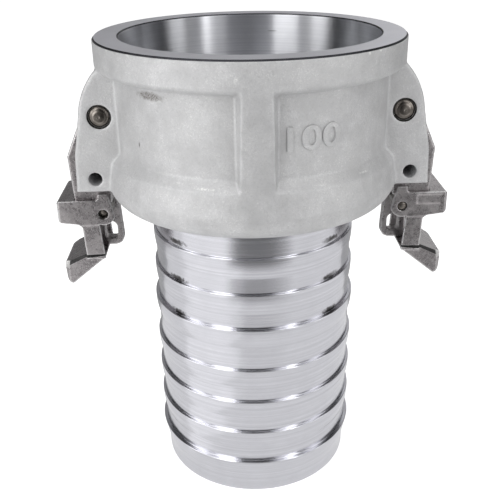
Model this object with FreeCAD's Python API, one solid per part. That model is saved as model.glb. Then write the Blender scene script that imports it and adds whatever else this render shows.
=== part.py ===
import FreeCAD, Part
import math
import os

# Self-locking cam and groove coupler with a long hose shank, nominal size 100 mm.
# Millimetres. Z runs up the bore axis from the end of the shank to the mouth of the socket.
# The two levers lie along +X (right) and -X (left). The same casting is used on both sides,
# turned half round, so each side piece is made on the right and turned over to the left.

os.makedirs("parts", exist_ok=True)

# Socket and flow passage
overall_length = 228.0
socket_diameter = 120.4
socket_depth = 61.2
flow_diameter = 90.0
throat_length = 12.0
mouth_lead = 0.8

# Cast body, its steps measured outwards from the panels
wall_thickness = 4.6
rim_stand = 7.1
rim_height = 13.5
rim_edge = 1.4
rim_underside = 1.6
panel_height = 35.4
ledge_height = 4.6
band_top_stand = 3.8
band_stand = 5.7
body_height = 77.4
body_corner = 11.5
neck_fillet = 4.0
rib_width = 12.4
rib_draft = 15.0

# Hose shank, ridged for a hose of 102 mm inside diameter
valley_diameter = 99.8
tip_diameter = 98.6
tip_length = 21.0
tip_land = 8.0
tip_chamfer = 1.6
ridge_pitch = 18.3
long_pitch = 22.6
ridge_crests = (103.8, 102.6, 102.6, 102.6, 102.9, 101.2, 100.2)
long_pitch_after = 3
ridge_length = 10.6
ridge_land = 1.6
crest_edge = 0.4

# Gasket in the undercut at the bottom of the socket
gasket_undercut = 1.7
gasket_width = 10.3
gasket_height = 6.4
gasket_clearance = 0.2
gasket_corner = 0.8

# Ears and pivot
pivot_stand = 9.1
pivot_drop = 33.2
arm_pin_diameter = 9.5
pin_ring = 0.8
pin_ring_depth = 1.2
pin_end_stand = 0.3
pin_end_chamfer = 0.7
ear_thickness = 8.5
ear_reach = 9.5
ear_crown = 2.5
ear_top_drop = 11.5
ear_shoulder = 12.8
ear_shoulder_drop = 18.0
ear_foot = 6.3
ear_margin = 9.2
ear_edge = 0.8
safety_hole_diameter = 6.4
safety_hole_offset = 4.4
safety_hole_drop = 29.4

# Cam arm
arm_width = 26.4
side_clearance = 0.3
running_clearance = 0.06
seat_clearance = 0.03
cam_radius = 11.0
cam_throw = 4.5
cam_dip = 1.0
groove_depth = 4.2
head_radius = 8.6
arm_gap = 2.0
arm_back = 17.0
arm_bulge = 1.2
arm_bulge_drop = 20.8
arm_bulge_round = 3.0
arm_waist = 12.3
arm_waist_drop = 7.5
arm_edge = 0.8
arm_hole_extra = 0.4
arm_toe = 4.6
arm_crown_angle = 30.0
slot_inset = 2.8

# Lower end of the arm: a thin plate with a slot for a pull ring
latch_pin_offset = 3.5
latch_pin_drop = 49.3
latch_pin_diameter = 4.0
plate_thickness = 5.2
plate_reach = 21.9
plate_inner = 7.2
plate_outer = 5.2
plate_corner = 4.3
plate_foot_angles = (-98.0, -88.0, -76.0)
plate_shoulder = 2.0
plate_lean = 0.9
plate_root = 1.0
arm_underside = 5.2
ring_slot_width = 6.0
ring_slot_top = 9.1
ring_slot_foot = 17.8
ring_slot_corner = 1.2
ring_slot_inset = 1.2

# Release latch, measured from the latch pin
cheek_thickness = 2.4
latch_reach = 22.0
latch_top = 7.0
latch_bottom = 4.2
block_bottom = 2.7
nose_top = 10.2
nose_inner = 2.7
nose_outer = 2.0
heel_radius = 5.6
heel_angles = (-112.0, -164.0)
step_round = 1.6
block_corner = 1.8
block_fall = 1.0
latch_stop_gap = 0.35
stem_outer = 10.8
stem_inner = 2.4
stem_lean = 1.4
stem_root = 2.4
tab_half_width = 14.6
tab_top = 21.6
tab_fall = 4.4
tab_edge = 1.0
tab_lean = 0.6
tab_bottom = 37.3
tab_round = 3.2
tab_foot_run = 1.4
tab_foot_rise = 1.2
tab_toe = 1.8
tab_clearance = 0.4
pin_end_recess = 0.5
cheek_countersink = 0.5

# Torsion spring round the latch pin
wire_diameter = 1.4
coil_turns = 4.25
coil_gap = 0.9
spring_leg = 16.5
loop_bend = 1.5
spring_touch = 0.1

# Levels and radii that follow from the sizes above
mouth_z = overall_length
socket_radius = socket_diameter / 2
pivot_offset = socket_radius + pivot_stand
groove_radius = socket_radius - groove_depth
panel_radius = socket_radius + wall_thickness
rim_radius = panel_radius + rim_stand
band_radius = panel_radius + band_stand
band_top_radius = panel_radius + band_top_stand
valley_radius = valley_diameter / 2
tip_radius = tip_diameter / 2
flow_radius = flow_diameter / 2
gasket_outer = socket_radius + gasket_undercut
gasket_inner = gasket_outer - gasket_width
throat_radius = gasket_inner - mouth_lead
underside_z = mouth_z - body_height
gasket_top_z = mouth_z - socket_depth - gasket_clearance
gasket_floor_z = gasket_top_z - gasket_height
gasket_wall = gasket_outer + gasket_clearance
pivot_z = mouth_z - pivot_drop
safety_x = pivot_offset + safety_hole_offset
safety_z = pivot_z - safety_hole_drop
latch_x = pivot_offset + latch_pin_offset
latch_z = pivot_z - latch_pin_drop
arm_half = arm_width / 2
slot_half = arm_half + side_clearance
ear_half = slot_half + ear_thickness
cheek_outer = slot_half + cheek_thickness
cam_sweep = math.hypot(cam_throw, cam_dip) + cam_radius
slot_floor = pivot_offset - slot_inset
ear_foot_z = safety_z - ear_foot
plate_half = plate_thickness / 2
throat_low_z = gasket_floor_z - throat_length
throat_slope = (throat_radius - flow_radius) / throat_length
coil_radius = latch_pin_diameter / 2 + coil_gap + wire_diameter / 2

# Share of its radius by which the middle of a rounded corner stands off the two sides
round_share = 1 - math.sqrt(0.5)
# Distance below which two positions count as the same
same_place = 0.01


def vec(x, y, z):
    return FreeCAD.Vector(x, y, z)


def xz_face(start, *steps):
    """Flat face in the XZ plane. A point ends a straight edge, a pair (through, end) an arc."""
    edges = []
    here = start
    for step in steps + (start,):
        if isinstance(step[0], tuple):
            through, end = step
            a, b, c = (vec(p[0], 0, p[1]) for p in (here, through, end))
            edges.append(Part.Arc(a, b, c).toShape())
        else:
            end = step
            if end != here:
                edges.append(Part.makeLine(vec(here[0], 0, here[1]), vec(end[0], 0, end[1])))
        here = end
    return Part.Face(Part.Wire(edges))


def turned(face):
    """Solid of revolution round the bore axis."""
    return face.revolve(vec(0, 0, 0), vec(0, 0, 1), 360)


def slab(face, low, high):
    """The face's outline from y = low to y = high."""
    return face.translated(vec(0, low, 0)).extrude(vec(0, high - low, 0))


def both_slabs(face, inner, outer):
    """Two equal slabs, one on each side of the XZ plane."""
    return [slab(face, -outer, -inner), slab(face, inner, outer)]


def cross_bar(x, z, radius, low, high):
    """Round bar along Y."""
    return Part.makeCylinder(radius, high - low, vec(x, low, z), vec(0, 1, 0))


def box(low, high):
    size = [b - a for a, b in zip(low, high)]
    return Part.makeBox(size[0], size[1], size[2], vec(*low))


def on_arc(centre, radius, degrees):
    angle = math.radians(degrees)
    return (centre[0] + radius * math.cos(angle), centre[1] + radius * math.sin(angle))


def half_turn(shape):
    """The left-hand copy of a right-hand piece."""
    other = shape.copy()
    other.rotate(vec(0, 0, 0), vec(0, 0, 1), 180)
    return other


def one_solid(shape):
    """A cleaned solid, without seams between faces of one surface."""
    return shape.removeSplitter().Solids[0]


def throat_radius_at(z):
    """Radius of the cone between the gasket's seat and the flow passage."""
    return flow_radius + (z - throat_low_z) * throat_slope


def ridge_levels():
    """Heights of the ridge shoulders, from the tip of the shank upwards."""
    levels = [tip_length]
    for count in range(1, len(ridge_crests)):
        step = long_pitch if count == long_pitch_after + 1 else ridge_pitch
        levels.append(levels[-1] + step)
    return levels


def shank_steps():
    """Outline of the shank from its end face up to the neck.

    Each ridge has a square shoulder towards the socket, that grips the hose, and rounds away
    towards the hose end, where a plain valley follows. The lowest ridge runs out into the tip.
    """
    steps = [(tip_radius - tip_chamfer, 0), (tip_radius, tip_chamfer), (tip_radius, tip_land)]
    fall = ridge_length - ridge_land
    for crest, level in zip(ridge_crests, ridge_levels()):
        top = crest / 2
        if level > tip_length:
            depth = top - valley_radius
            bend = (fall ** 2 + depth ** 2) / (2 * depth)
            middle = top - bend + math.sqrt(bend ** 2 - (fall / 2) ** 2)
            steps.append((valley_radius, level - ridge_length))
            steps.append(((middle, level - ridge_land - fall / 2), (top, level - ridge_land)))
        steps.append((top, level - crest_edge))
        steps.append((top - crest_edge, level))
        steps.append((valley_radius, level))
    return steps


def hose_shank():
    """Ridged tube below the casting, with a fillet at its neck and the lower end of the throat cone."""
    neck_centre = (valley_radius + neck_fillet, underside_z - neck_fillet)
    steps = shank_steps()
    steps.append((valley_radius, neck_centre[1]))
    steps.append((on_arc(neck_centre, neck_fillet, 135), (neck_centre[0], underside_z)))
    steps.append((throat_radius_at(underside_z), underside_z))
    steps.append((flow_radius, throat_low_z))
    steps.append((flow_radius, tip_chamfer))
    steps.append((flow_radius + tip_chamfer / 2, 0))
    return turned(xz_face(steps[0], *steps[1:]))


def casting_outline():
    """Half section of the casting, without ears, ribs and windows."""
    corner_centre = (band_radius - body_corner, underside_z + body_corner)
    ledge_top = mouth_z - rim_height - rim_underside - panel_height
    band_top = ledge_top - ledge_height
    steps = [(throat_radius_at(underside_z), underside_z), (corner_centre[0], underside_z)]
    steps.append((on_arc(corner_centre, body_corner, -45), (band_radius, corner_centre[1])))
    steps.append((band_top_radius, band_top))
    steps.append((panel_radius, ledge_top))
    steps.append((panel_radius, mouth_z - rim_height - rim_underside))
    steps.append((rim_radius - rim_underside, mouth_z - rim_height))
    steps.append((rim_radius, mouth_z - rim_height + rim_underside))
    steps.append((rim_radius, mouth_z - rim_edge))
    steps.append((rim_radius - rim_edge, mouth_z))
    steps.append((socket_radius + mouth_lead, mouth_z))
    steps.append((socket_radius, mouth_z - mouth_lead))
    steps.append((socket_radius, mouth_z - socket_depth))
    steps.append((gasket_wall, mouth_z - socket_depth))
    steps.append((gasket_wall, gasket_floor_z))
    steps.append((throat_radius, gasket_floor_z))
    return xz_face(steps[0], *steps[1:])


def rib():
    """Upright rib between two panels, on the front, with a casting draft on its sides and face."""
    flank = (rim_radius - socket_radius) * math.tan(math.radians(rib_draft))
    inner, outer = rib_width / 2 + flank, rib_width / 2
    corners = [(-inner, -socket_radius - mouth_lead), (inner, -socket_radius - mouth_lead)]
    corners += [(outer, -rim_radius), (-outer, -rim_radius)]
    low = mouth_z - rim_height - rim_underside - panel_height - ledge_height
    ring = [vec(x, y, low) for x, y in corners + corners[:1]]
    height = mouth_z - rim_height - low + rim_underside
    prism = Part.Face(Part.makePolygon(ring)).extrude(vec(0, 0, height))
    return prism.common(Part.makeCone(band_top_radius, rim_radius, height, vec(0, 0, low)))


def ear_face():
    """Side outline of an ear, from its root inside the socket wall."""
    root = (math.sqrt(gasket_wall ** 2 - slot_half ** 2) + math.sqrt(panel_radius ** 2 - ear_half ** 2)) / 2
    top = (math.sqrt(rim_radius ** 2 - ear_half ** 2) - rim_edge, mouth_z - ear_top_drop + rim_edge)
    nose = (pivot_offset + ear_reach, pivot_z)
    chord = math.dist(top, nose)
    crown = ((top[0] + nose[0]) / 2 + ear_crown * (top[1] - nose[1]) / chord,
             (top[1] + nose[1]) / 2 + ear_crown * (nose[0] - top[0]) / chord)
    shoulder = (pivot_offset + ear_shoulder, pivot_z - ear_shoulder_drop)
    foot = safety_x + ear_margin
    return xz_face((root, top[1]), top, (crown, nose), shoulder, (foot, ear_foot_z), (root, ear_foot_z))


def softened_ear(solid, outer_y):
    """Breaks the edges of an ear's outer face, except where it meets the body."""
    root = solid.BoundBox.XMin + ear_edge
    edges = [e for e in solid.Edges
             if abs(e.BoundBox.YMin - outer_y) < same_place and e.BoundBox.YLength < same_place
             and e.BoundBox.XMax > root]
    return solid.makeChamfer(ear_edge, edges)


def ear_pair():
    front, back = both_slabs(ear_face(), slot_half, ear_half)
    return [softened_ear(front, -ear_half), softened_ear(back, ear_half)]


def lever_pocket():
    """Room for a lever: the gap between the ears, and the cam's window through the socket wall."""
    low = pivot_z - cam_sweep - side_clearance
    top = pivot_z + cam_radius + side_clearance
    window = box((pivot_offset - cam_sweep, -slot_half, low), (slot_floor, slot_half, top))
    gap_top = mouth_z - rim_height - rim_underside
    beyond = safety_x + ear_margin + side_clearance
    gap = box((slot_floor, -slot_half, underside_z), (beyond, slot_half, gap_top))
    return [window, gap]


def ear_bores():
    """Pivot bore with a shallow ring round each pin end, and the safety pin's holes."""
    pin_radius = arm_pin_diameter / 2
    bores = [cross_bar(pivot_offset, pivot_z, pin_radius + seat_clearance, -ear_half, ear_half)]
    bores.append(cross_bar(safety_x, safety_z, safety_hole_diameter / 2, -ear_half, ear_half))
    for low in (-ear_half, ear_half - pin_ring_depth):
        bores.append(cross_bar(pivot_offset, pivot_z, pin_radius + pin_ring, low, low + pin_ring_depth))
    return bores


def coupler_body():
    back_rib = half_turn(rib())
    ears = ear_pair()
    ears += [half_turn(ear) for ear in ears]
    body = turned(casting_outline()).fuse([rib(), back_rib] + ears)
    cuts = lever_pocket() + ear_bores()
    cuts += [half_turn(cut) for cut in cuts]
    return one_solid(body.cut(cuts))


def face_gasket():
    """Rubber ring of plain section with softened corners."""
    low, high = gasket_floor_z, gasket_floor_z + gasket_height
    c = gasket_corner
    section = xz_face((gasket_inner + c, low), (gasket_outer - c, low), (gasket_outer, low + c),
                      (gasket_outer, high - c), (gasket_outer - c, high), (gasket_inner + c, high),
                      (gasket_inner, high - c), (gasket_inner, low + c))
    return turned(section)


def chamfered_pin(x, z, diameter, half_length, chamfer):
    pin = cross_bar(x, z, diameter / 2, -half_length, half_length)
    ends = [e for e in pin.Edges if abs(abs(e.CenterOfMass.y) - half_length) < same_place]
    return pin.makeChamfer(chamfer, ends)


def arm_pin():
    return chamfered_pin(pivot_offset, pivot_z, arm_pin_diameter, ear_half + pin_end_stand, pin_end_chamfer)


def latch_pin():
    half_length = cheek_outer - pin_end_recess
    return chamfered_pin(latch_x, latch_z, latch_pin_diameter, half_length, pin_end_recess)


def lever_face():
    """Side outline of the lever between head and latch."""
    inner = slot_floor + arm_gap
    back = pivot_offset + arm_back
    bulge = (back + arm_bulge, pivot_z - arm_bulge_drop)
    waist = (pivot_offset + arm_waist, pivot_z - arm_waist_drop)
    bottom = latch_z + arm_underside
    crown = on_arc((pivot_offset, pivot_z), head_radius, arm_crown_angle)
    return xz_face((inner, pivot_z), (inner, ear_foot_z), (latch_x - arm_toe, bottom),
                   (back, bottom), bulge, waist, crown)


def rounded_bulge(lever):
    """Rounds the lever's outward corner and softens the edges of its back."""
    bulge_z = pivot_z - arm_bulge_drop
    corner = [e for e in lever.Edges
              if abs(e.CenterOfMass.z - bulge_z) < same_place and abs(e.CenterOfMass.y) < same_place]
    lever = lever.makeFillet(arm_bulge_round, corner)
    back_edges = [e for e in lever.Edges
                  if abs(abs(e.CenterOfMass.y) - arm_half) < same_place
                  and e.BoundBox.XMin > pivot_offset + arm_waist - same_place
                  and e.Length > arm_bulge_round]
    return lever.makeFillet(arm_edge, back_edges)


def plate_face():
    """Outline of the thin plate below the lever; its lower edge is an arc about the latch pin."""
    pin = (latch_x, latch_z)
    inner, outer = latch_x - plate_inner, latch_x + plate_outer
    low_in, low_mid, low_out = (on_arc(pin, plate_reach, degrees) for degrees in plate_foot_angles)
    corner = (inner, low_in[1] + plate_corner)
    bend = (inner + (low_in[0] - inner) * round_share, low_in[1] + plate_corner * round_share)
    top = latch_z + arm_underside + plate_root
    return xz_face((latch_x - plate_inner / 2, top), (inner + plate_lean, latch_z - plate_shoulder),
                   corner, (bend, low_in), (low_mid, low_out),
                   (outer, latch_z - heel_radius), (outer + plate_root, top))


def ring_slot():
    """Slot through the plate, round at the top and nearly square at the foot."""
    radius = ring_slot_width / 2
    middle = latch_x - ring_slot_inset
    inner, outer = middle - radius, middle + radius
    top, low = latch_z - ring_slot_top, latch_z - ring_slot_foot
    corner, bend = ring_slot_corner, ring_slot_corner * round_share
    face = xz_face((inner, low + corner), ((inner + bend, low + bend), (inner + corner, low)),
                   (outer - corner, low), ((outer - bend, low + bend), (outer, low + corner)),
                   (outer, top - radius), ((middle, top), (inner, top - radius)))
    return slab(face, -plate_half, plate_half)


def cam_arm():
    """Lever with an eccentric cam; the cam's face is hollowed to the adapter's groove."""
    head = cross_bar(pivot_offset, pivot_z, head_radius, -arm_half, arm_half)
    cam = cross_bar(pivot_offset - cam_throw, pivot_z - cam_dip, cam_radius, -arm_half, arm_half)
    lever = rounded_bulge(slab(lever_face(), -arm_half, arm_half))
    plate = slab(plate_face(), -plate_half, plate_half)
    boss = cross_bar(latch_x, latch_z, heel_radius, -plate_half, plate_half)
    arm = lever.fuse([head, cam, plate, boss])
    groove = Part.makeCylinder(groove_radius, overall_length, vec(0, 0, 0))
    pivot = cross_bar(pivot_offset, pivot_z, arm_pin_diameter / 2 + running_clearance, -arm_half, arm_half)
    safety = cross_bar(safety_x, safety_z, safety_hole_diameter / 2 + arm_hole_extra, -arm_half, arm_half)
    pin_seat = latch_pin_diameter / 2 + seat_clearance
    pin_hole = cross_bar(latch_x, latch_z, pin_seat, -arm_half, arm_half)
    return one_solid(arm.cut([groove, pivot, safety, pin_hole, ring_slot()]))


def cheek_face():
    """Side outline of a latch cheek with its nose, heel and stem."""
    pin = (latch_x, latch_z)
    top, bottom = latch_z + latch_top, latch_z - latch_bottom
    reach = latch_x + latch_reach
    nose_z = latch_z + nose_top
    nose_back = latch_x + nose_outer
    step = step_round * round_share
    stem_foot = latch_z - tab_top - stem_root
    corner = block_corner * round_share
    heel_top = latch_z - math.sqrt(heel_radius ** 2 - stem_inner ** 2)
    heel_middle, heel_end = (on_arc(pin, heel_radius, degrees) for degrees in heel_angles)
    return xz_face((latch_x - nose_inner, nose_z), (nose_back, nose_z), (nose_back, top + step_round),
                   ((nose_back + step, top + step), (nose_back + step_round, top)),
                   (reach - block_corner / 2, top), (reach, top - block_corner / 2),
                   (reach, bottom + block_corner),
                   ((reach - corner, bottom + corner), (reach - block_corner, bottom)),
                   (latch_x + stem_outer + step_round, bottom - block_fall),
                   (latch_x + stem_outer, bottom - block_fall - step_round),
                   (latch_x + stem_outer - stem_lean / 2, stem_foot),
                   (latch_x + stem_inner - stem_lean, stem_foot),
                   (latch_x + stem_inner, heel_top), (heel_middle, heel_end))


def tab_face():
    """Thumb tab: a wedge with a nearly level top and a rounded lower edge."""
    top = latch_z - tab_top
    bottom = latch_z - tab_bottom
    tip = latch_x + latch_reach
    tip_top = top - tab_fall
    face = tip - tab_lean
    foot = face - tab_round
    bend = tab_round * round_share
    root = latch_x + stem_inner - stem_lean
    return xz_face((root, top), (latch_x + stem_outer, top), (tip - tab_edge, tip_top),
                   (tip, tip_top - tab_edge), (face, bottom + tab_round),
                   ((face - bend, bottom + bend), (foot, bottom)),
                   (foot - tab_foot_run, bottom + tab_foot_rise), (root, top - tab_toe))


def latch():
    """Release latch: two cheeks joined by a block outboard of the arm and by the thumb tab."""
    cheeks = both_slabs(cheek_face(), slot_half, cheek_outer)
    inner = pivot_offset + arm_back + latch_stop_gap
    reach = latch_x + latch_reach
    top, bottom = latch_z + latch_top, latch_z - block_bottom
    half = block_corner / 2
    block = xz_face((inner, top), (reach - half, top), (reach, top - half),
                    (reach, bottom + half), (reach - half, bottom), (inner, bottom))
    parts = [slab(block, -cheek_outer, cheek_outer), slab(tab_face(), -tab_half_width, tab_half_width)]
    solid = cheeks[0].fuse([cheeks[1]] + parts)
    sweep = cross_bar(latch_x, latch_z, plate_reach + tab_clearance, -slot_half, slot_half)
    keep = box((latch_x - plate_reach, -slot_half, latch_z - plate_reach * 2),
               (latch_x + plate_reach, slot_half, latch_z - heel_radius))
    pin_radius = latch_pin_diameter / 2
    pin_hole = cross_bar(latch_x, latch_z, pin_radius + running_clearance, -cheek_outer, cheek_outer)
    sinks = []
    for y, way in ((-cheek_outer, 1), (cheek_outer, -1)):
        rim = pin_radius + cheek_countersink
        sinks.append(Part.makeCone(rim, pin_radius, cheek_countersink, vec(latch_x, y, latch_z), vec(0, way, 0)))
    return one_solid(solid.cut([sweep.common(keep), pin_hole] + sinks))


def latch_spring():
    """Double torsion spring astride the plate, bent from one wire.

    Each coil starts beside the plate, on the arm's side of the pin, where the wire runs up to the
    arm. It ends a quarter turn past that, at the bottom, where the wire runs outward to the loop
    that lifts the block.
    """
    radius = wire_diameter / 2
    inner = plate_half + side_clearance + radius
    outer = slot_half - side_clearance - radius
    coil = Part.makeHelix((outer - inner) / coil_turns, outer - inner, coil_radius)
    coil.rotate(vec(0, 0, 0), vec(1, 0, 0), 90)
    coil.rotate(vec(0, 0, 0), vec(0, 1, 0), 180)
    coil.translate(vec(latch_x, -inner, latch_z))
    wire_x = latch_x - coil_radius
    low = latch_z - coil_radius
    loop_x = latch_x + spring_leg
    bend = loop_bend * round_share
    start = vec(wire_x, -inner, latch_z + arm_underside - spring_touch)
    run = Part.makeLine(vec(latch_x, -outer, low), vec(loop_x - loop_bend, -outer, low))
    corner = Part.Arc(vec(loop_x - loop_bend, -outer, low), vec(loop_x - bend, bend - outer, low),
                      vec(loop_x, loop_bend - outer, low)).toShape()
    half = [Part.makeLine(start, vec(wire_x, -inner, latch_z))] + coil.Edges + [run, corner]
    other_half = [edge.mirror(vec(0, 0, 0), vec(0, 1, 0)) for edge in half]
    loop = Part.makeLine(vec(loop_x, loop_bend - outer, low), vec(loop_x, outer - loop_bend, low))
    path = Part.Wire(Part.__sortEdges__(half + [loop] + other_half))
    pipe = Part.BRepOffsetAPI.MakePipeShell(path)
    pipe.setFrenetMode(True)
    pipe.add(Part.Wire(Part.makeCircle(radius, start, vec(0, 0, 1))))
    pipe.build()
    pipe.makeSolid()
    return pipe.shape()


pieces = {"coupler_body": coupler_body(), "hose_shank": hose_shank(), "face_gasket": face_gasket()}
side_pieces = {"cam_arm": cam_arm, "arm_pin": arm_pin, "latch": latch,
               "latch_pin": latch_pin, "latch_spring": latch_spring}
for name, make in side_pieces.items():
    right = make()
    pieces["right_" + name] = right
    pieces["left_" + name] = half_turn(right)

for name, shape in pieces.items():
    shape.exportStep("parts/" + name + ".step")
    print(name, shape.isValid(), len(shape.Solids), round(shape.Volume), len(shape.Faces))
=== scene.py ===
import math

import bmesh
import bpy
from mathutils import Matrix, Vector


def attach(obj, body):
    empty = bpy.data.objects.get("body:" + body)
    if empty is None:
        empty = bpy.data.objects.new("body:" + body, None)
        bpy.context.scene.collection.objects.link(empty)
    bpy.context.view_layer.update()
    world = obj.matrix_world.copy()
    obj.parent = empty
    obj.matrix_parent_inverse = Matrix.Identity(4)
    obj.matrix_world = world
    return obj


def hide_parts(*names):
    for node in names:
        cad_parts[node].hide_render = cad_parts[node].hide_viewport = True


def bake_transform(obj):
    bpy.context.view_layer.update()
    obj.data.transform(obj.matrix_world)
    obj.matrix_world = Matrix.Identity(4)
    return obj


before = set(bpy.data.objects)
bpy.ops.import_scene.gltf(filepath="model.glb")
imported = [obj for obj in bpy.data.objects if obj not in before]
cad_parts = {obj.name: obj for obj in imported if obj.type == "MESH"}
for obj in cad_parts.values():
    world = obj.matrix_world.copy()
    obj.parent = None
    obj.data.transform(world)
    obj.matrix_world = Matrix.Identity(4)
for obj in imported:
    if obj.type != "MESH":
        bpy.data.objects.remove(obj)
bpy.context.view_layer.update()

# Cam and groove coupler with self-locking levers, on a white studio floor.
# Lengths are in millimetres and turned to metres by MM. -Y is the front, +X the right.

MM = 0.001

# Sizes shared with the construction
MOUTH_Z = 228.0
SOCKET_R = 60.2
RIM_R = 71.9
PANEL_R = 64.8
UNDERSIDE_Z = 150.6
GASKET_R = 61.9
GASKET_HOLE_R = 51.6
GASKET_TOP_Z = 166.6
SEAT_Z = 160.2
UNDERCUT_Z = 166.8
THROAT_R = 50.8
FLOW_R = 45.0
THROAT_LOW_Z = 148.2
PIVOT = (69.3, 194.8)
PIVOT_PIN_R = 4.75
SAFETY = (73.7, 165.4)
SAFETY_R = 3.2
LATCH_PIN = (72.8, 145.5)
LATCH_PIN_R = 2.0
EAR_HALF = 22.0
SLOT_HALF = 13.5
CHEEK_OUTER = 15.9
WINDOW = (50.0, 66.5, 178.9, 206.1)
TAB_HALF = 14.6
TIP_R = 49.3
TIP_BREAK = 1.6
BORE_BREAK = 0.8
NECK_BORE_R = 46.15
NECK_FILLET = 4.0
RIDGE_CRESTS = (51.9, 51.3, 51.3, 51.3, 51.45, 50.6, 50.35)
RIDGE_VALLEYS = (49.9, 49.9, 49.9, 49.9, 49.7, 49.4, 49.35)
RIDGE_LEVELS = (21.0, 39.3, 57.6, 75.9, 98.5, 116.8, 135.1)
RIDGE_LENGTH = 10.6
RIDGE_LAND = 1.6
TIP_LAND = 8.0

# Edges and fits as the tools and moulds leave them
MOUTH_EDGE = 0.55
ROOT_ROUND = 0.3
CREST_ROUND = 0.4
STOCK = 2.0
OVERRUN = 2.0
PRESS_FIT = 0.03
RUNNING_FIT = 0.06
SAFETY_PLAY = 0.4
HOLE_BREAK = 0.5

# Grids of the castings' moulds, in millimetres, from coarse sand to fine ceramic
SAND_GRID = 0.6
LEVER_GRID = 0.42
LATCH_GRID = 0.36
FIGURES_GRID = 0.22

# Share of the floor's white that it gives off itself, to the eye and to the metal
FLOOR_GLOW = 0.45


# Shapes

def finished(bm, name):
    """Object made from a bmesh, with its doubles merged and its faces turned outward."""
    bmesh.ops.remove_doubles(bm, verts=bm.verts, dist=0.001 * MM)
    bmesh.ops.recalc_face_normals(bm, faces=bm.faces)
    mesh = bpy.data.meshes.new(name)
    bm.to_mesh(mesh)
    bm.free()
    mesh.shade_smooth()
    piece = bpy.data.objects.new(name, mesh)
    bpy.context.scene.collection.objects.link(piece)
    return piece


def rounded(corners, steps=5):
    """Points of a section, where a corner's third number is the radius that rounds it."""
    points = []
    for index, corner in enumerate(corners):
        here = Vector(corner[:2])
        if len(corner) < 3:
            points.append(tuple(here))
            continue
        back = (Vector(corners[index - 1][:2]) - here).normalized()
        on = (Vector(corners[(index + 1) % len(corners)][:2]) - here).normalized()
        half = back.angle(on) / 2
        middle = here + (back + on).normalized() * corner[2] / math.sin(half)
        reach = corner[2] / math.tan(half)
        first, last = here + back * reach - middle, here + on * reach - middle
        for step in range(steps + 1):
            spoke = first.lerp(last, step / steps).normalized() * corner[2]
            points.append(tuple(middle + spoke))
    return points


def turned_piece(name, section, steps=192, centre=(0, 0, 0), across=False, closed=True):
    """Section of (radius, height) points turned round Z, or round Y where it lies across."""
    bm = bmesh.new()
    verts = [bm.verts.new((r * MM, 0, h * MM)) for r, h in section]
    pairs = list(zip(verts, verts[1:]))
    if closed:
        pairs.append((verts[-1], verts[0]))
    edges = [bm.edges.new(pair) for pair in pairs]
    bmesh.ops.spin(bm, geom=verts + edges, cent=(0, 0, 0), axis=(0, 0, 1),
                   angle=2 * math.pi, steps=steps, use_merge=True)
    place = Matrix.Translation(Vector(centre) * MM)
    if across:
        place = place @ Matrix.Rotation(-math.pi / 2, 4, "X")
    bmesh.ops.transform(bm, matrix=place, verts=bm.verts)
    return finished(bm, name)


def block(bm, low, high):
    """Box between two corners."""
    size = [(b - a) * MM for a, b in zip(low, high)]
    middle = [(a + b) / 2 * MM for a, b in zip(low, high)]
    place = Matrix.Translation(middle) @ Matrix.Diagonal((*size, 1))
    bmesh.ops.create_cube(bm, size=1, matrix=place)


def bar(bm, x, z, radius, half, segments=64):
    """Round bar along Y, through (x, z)."""
    place = Matrix.Translation((x * MM, 0, z * MM)) @ Matrix.Rotation(math.pi / 2, 4, "X")
    bmesh.ops.create_cone(bm, cap_ends=True, segments=segments, radius1=radius * MM,
                          radius2=radius * MM, depth=2 * half * MM, matrix=place)


def wedge(bm, corners):
    """Solid with flat faces round a few corners."""
    verts = [bm.verts.new(Vector(corner) * MM) for corner in corners]
    bmesh.ops.convex_hull(bm, input=verts)


def baked(piece):
    """The piece with its modifiers worked into its mesh."""
    graph = bpy.context.evaluated_depsgraph_get()
    mesh = bpy.data.meshes.new_from_object(piece.evaluated_get(graph))
    piece.modifiers.clear()
    old = piece.data
    piece.data = mesh
    bpy.data.meshes.remove(old)
    return piece


def cut_away(piece, cutter):
    """Takes the cutter's shape out of the piece; the cut faces get the cutter's material."""
    cut = piece.modifiers.new("cut", "BOOLEAN")
    cut.operation = "DIFFERENCE"
    cut.solver = "EXACT"
    cut.material_mode = "TRANSFER"
    cut.object = cutter
    baked(piece)
    bpy.data.objects.remove(cutter)
    return piece


def softened(piece, grid, passes, keep=1.0):
    """Every edge and corner rounded as a mould leaves it: the finer the grid, the crisper.

    Keep is the share of the faces that stays, most of them on edges.
    """
    remesh = piece.modifiers.new("mould", "REMESH")
    remesh.mode = "VOXEL"
    remesh.voxel_size = grid * MM
    remesh.use_smooth_shade = True
    smooth = piece.modifiers.new("soften", "SMOOTH")
    smooth.factor = 0.5
    smooth.iterations = passes
    if keep < 1:
        thin = piece.modifiers.new("thin", "DECIMATE")
        thin.ratio = keep
    return baked(piece)


def cast_form(node, name, grid, passes, stock=None, pattern=None, keep=1.0):
    """A casting of a node's shape, with stock left on for machining and the pattern's hollows."""
    bm = bmesh.new()
    bm.from_mesh(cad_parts[node].data)
    bmesh.ops.remove_doubles(bm, verts=bm.verts, dist=0.001 * MM)
    mesh = bpy.data.meshes.new(name)
    bm.to_mesh(mesh)
    bm.free()
    piece = bpy.data.objects.new(name, mesh)
    bpy.context.scene.collection.objects.link(piece)
    if pattern:
        cut_away(piece, pattern)
    if stock:
        joined = bmesh.new()
        joined.from_mesh(piece.data)
        joined.from_mesh(stock.data)
        joined.to_mesh(piece.data)
        joined.free()
        bpy.data.objects.remove(stock)
    softened(piece, grid, passes, keep)
    piece.data.materials.clear()
    return piece


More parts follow.
